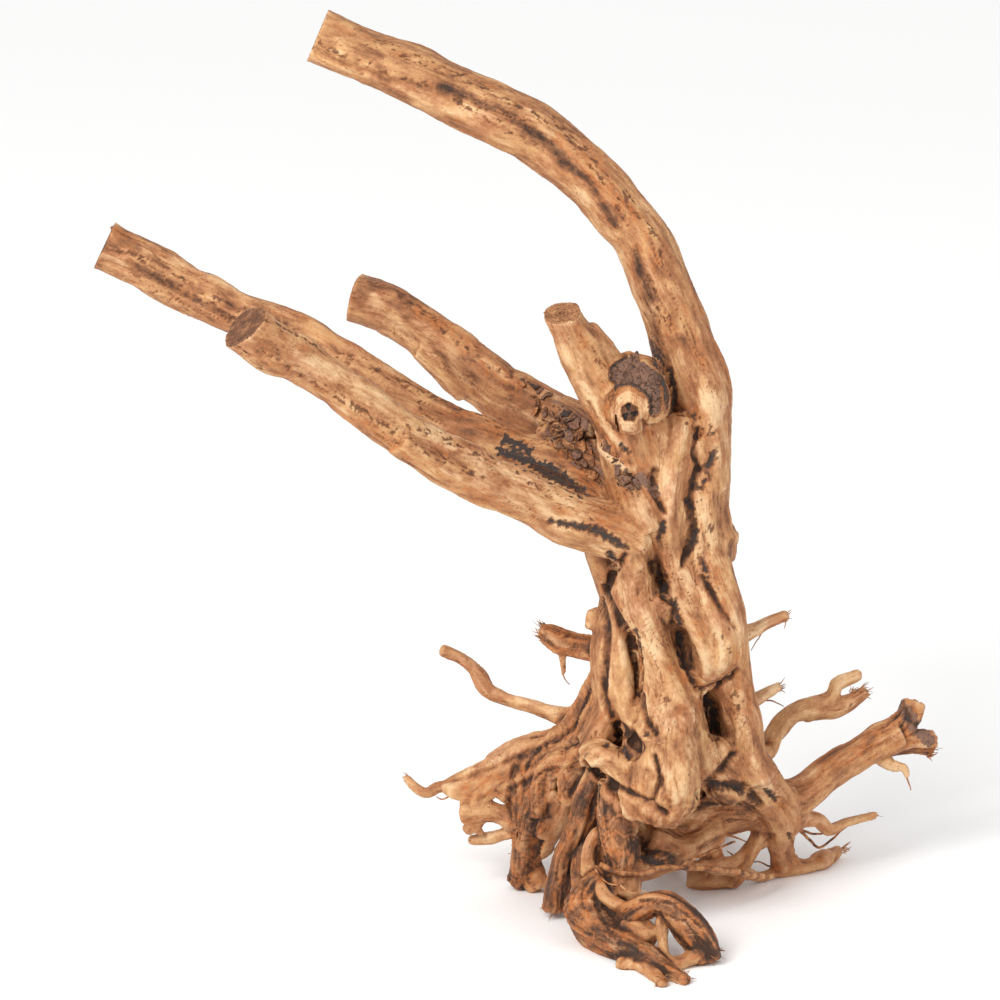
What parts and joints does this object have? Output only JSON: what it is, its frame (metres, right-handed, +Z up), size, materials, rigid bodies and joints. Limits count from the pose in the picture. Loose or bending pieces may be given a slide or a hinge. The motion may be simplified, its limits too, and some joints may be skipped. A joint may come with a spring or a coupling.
{
  "type": "grapevine wood piece",
  "caption": "Dried grapevine wood: a spreading root crown, a short trunk of fused cords, and sawn limbs that reach up to one side.",
  "frame": {"origin": "on the floor, under the middle of the wood's bounding box", "axes": "+Z up as the wood stands on its roots, -Y towards the front foot with the pointed toe, -X the side that the limbs reach to"},
  "size_m": [0.4226, 0.2434, 0.456],
  "materials": {
    "vine_wood": "dry, cleaned, unvarnished"
  },
  "bodies": {
    "root": {"grapevine_wood": "vine_wood"}
  },
  "joints": []
}
